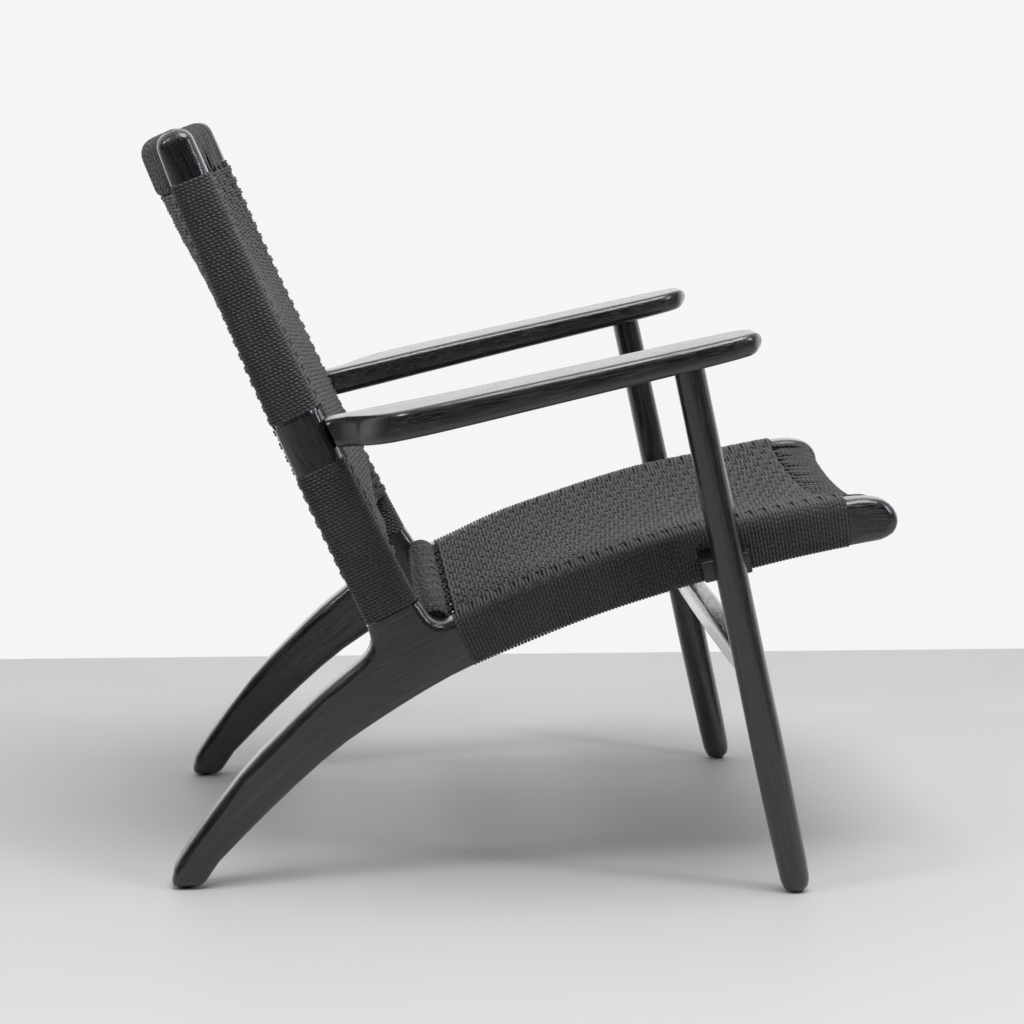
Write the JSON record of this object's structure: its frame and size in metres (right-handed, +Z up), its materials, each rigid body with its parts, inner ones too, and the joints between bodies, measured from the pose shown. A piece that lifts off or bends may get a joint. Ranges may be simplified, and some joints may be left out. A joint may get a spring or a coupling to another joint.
{
  "type": "lounge armchair",
  "caption": "Low lounge armchair with a black-stained oak frame, flat paddle arms and a seat and back woven in dark paper cord.",
  "frame": {"origin": "middle of the bounding box's footprint, on the floor", "axes": "+Z up; the chair faces -Y; +X is the sitter's left; X = 0 is the middle plane"},
  "size_m": [0.7094, 0.7284, 0.7239],
  "materials": {
    "oak_side_left": "black stain under satin lacquer, open grain",
    "oak_stile_left": "black stain under satin lacquer, open grain",
    "oak_leg_left": "black stain under satin lacquer, open grain",
    "oak_arm_left": "black stain under satin lacquer, open grain",
    "oak_side_right": "black stain under satin lacquer, open grain",
    "oak_stile_right": "black stain under satin lacquer, open grain",
    "oak_leg_right": "black stain under satin lacquer, open grain",
    "oak_arm_right": "black stain under satin lacquer, open grain",
    "oak_rail": "black stain under satin lacquer, open grain",
    "oak_dowel": "bare sanded",
    "cord_seat": "twisted paper cord, matt",
    "cord_back": "twisted paper cord, matt",
    "cord_wrap": "twisted paper cord, matt",
    "glide_plastic": "matt"
  },
  "bodies": {
    "root": {"leg_and_rail_left": "oak_side_left", "back_stile_left": "oak_stile_left", "front_leg_left": "oak_leg_left", "armrest_left": "oak_arm_left", "leg_block_left": "oak_rail", "leg_dowel_left": "oak_dowel", "front_glide_left": "glide_plastic", "rear_glide_left": "glide_plastic", "leg_and_rail_right": "oak_side_right", "back_stile_right": "oak_stile_right", "front_leg_right": "oak_leg_right", "armrest_right": "oak_arm_right", "leg_block_right": "oak_rail", "leg_dowel_right": "oak_dowel", "front_glide_right": "glide_plastic", "rear_glide_right": "glide_plastic", "back_top_rail": "oak_rail", "back_low_rail": "oak_rail", "seat_front_rail": "oak_rail", "seat_rear_rail": "oak_rail", "front_stretcher": "oak_rail", "seat_weave": "cord_seat", "back_weave": "cord_back", "back_top_wrap": "cord_wrap", "back_low_wrap": "cord_wrap", "seat_front_wrap": "cord_wrap", "seat_rear_wrap": "cord_wrap"}
  },
  "joints": []
}
